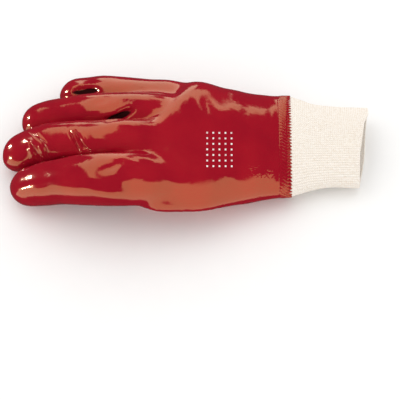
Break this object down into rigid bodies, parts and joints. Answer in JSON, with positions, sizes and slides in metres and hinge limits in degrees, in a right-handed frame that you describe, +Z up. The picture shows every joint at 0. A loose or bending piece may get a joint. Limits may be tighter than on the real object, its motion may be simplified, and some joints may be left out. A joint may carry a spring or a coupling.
{
  "type": "dipped work glove with a knit wrist",
  "caption": "Right-hand glossy dipped work glove with a ribbed knit wrist, lying palm down with its fingers curled, hollow and open at the wrist.",
  "frame": {"origin": "on the floor, at the middle of the glove's box", "axes": "+Z up, out of the back of the hand; -X along the fingers, +X out of the wrist's mouth; -Y to the thumb's side"},
  "size_m": [0.2758, 0.127, 0.0637],
  "materials": {
    "dipped_coat": "glossy smooth coating, mid red",
    "cuff_knit": "ribbed cotton knit, off-white"
  },
  "bodies": {
    "root": {"hand_shell": "dipped_coat", "knit_cuff": "cuff_knit"}
  },
  "joints": []
}
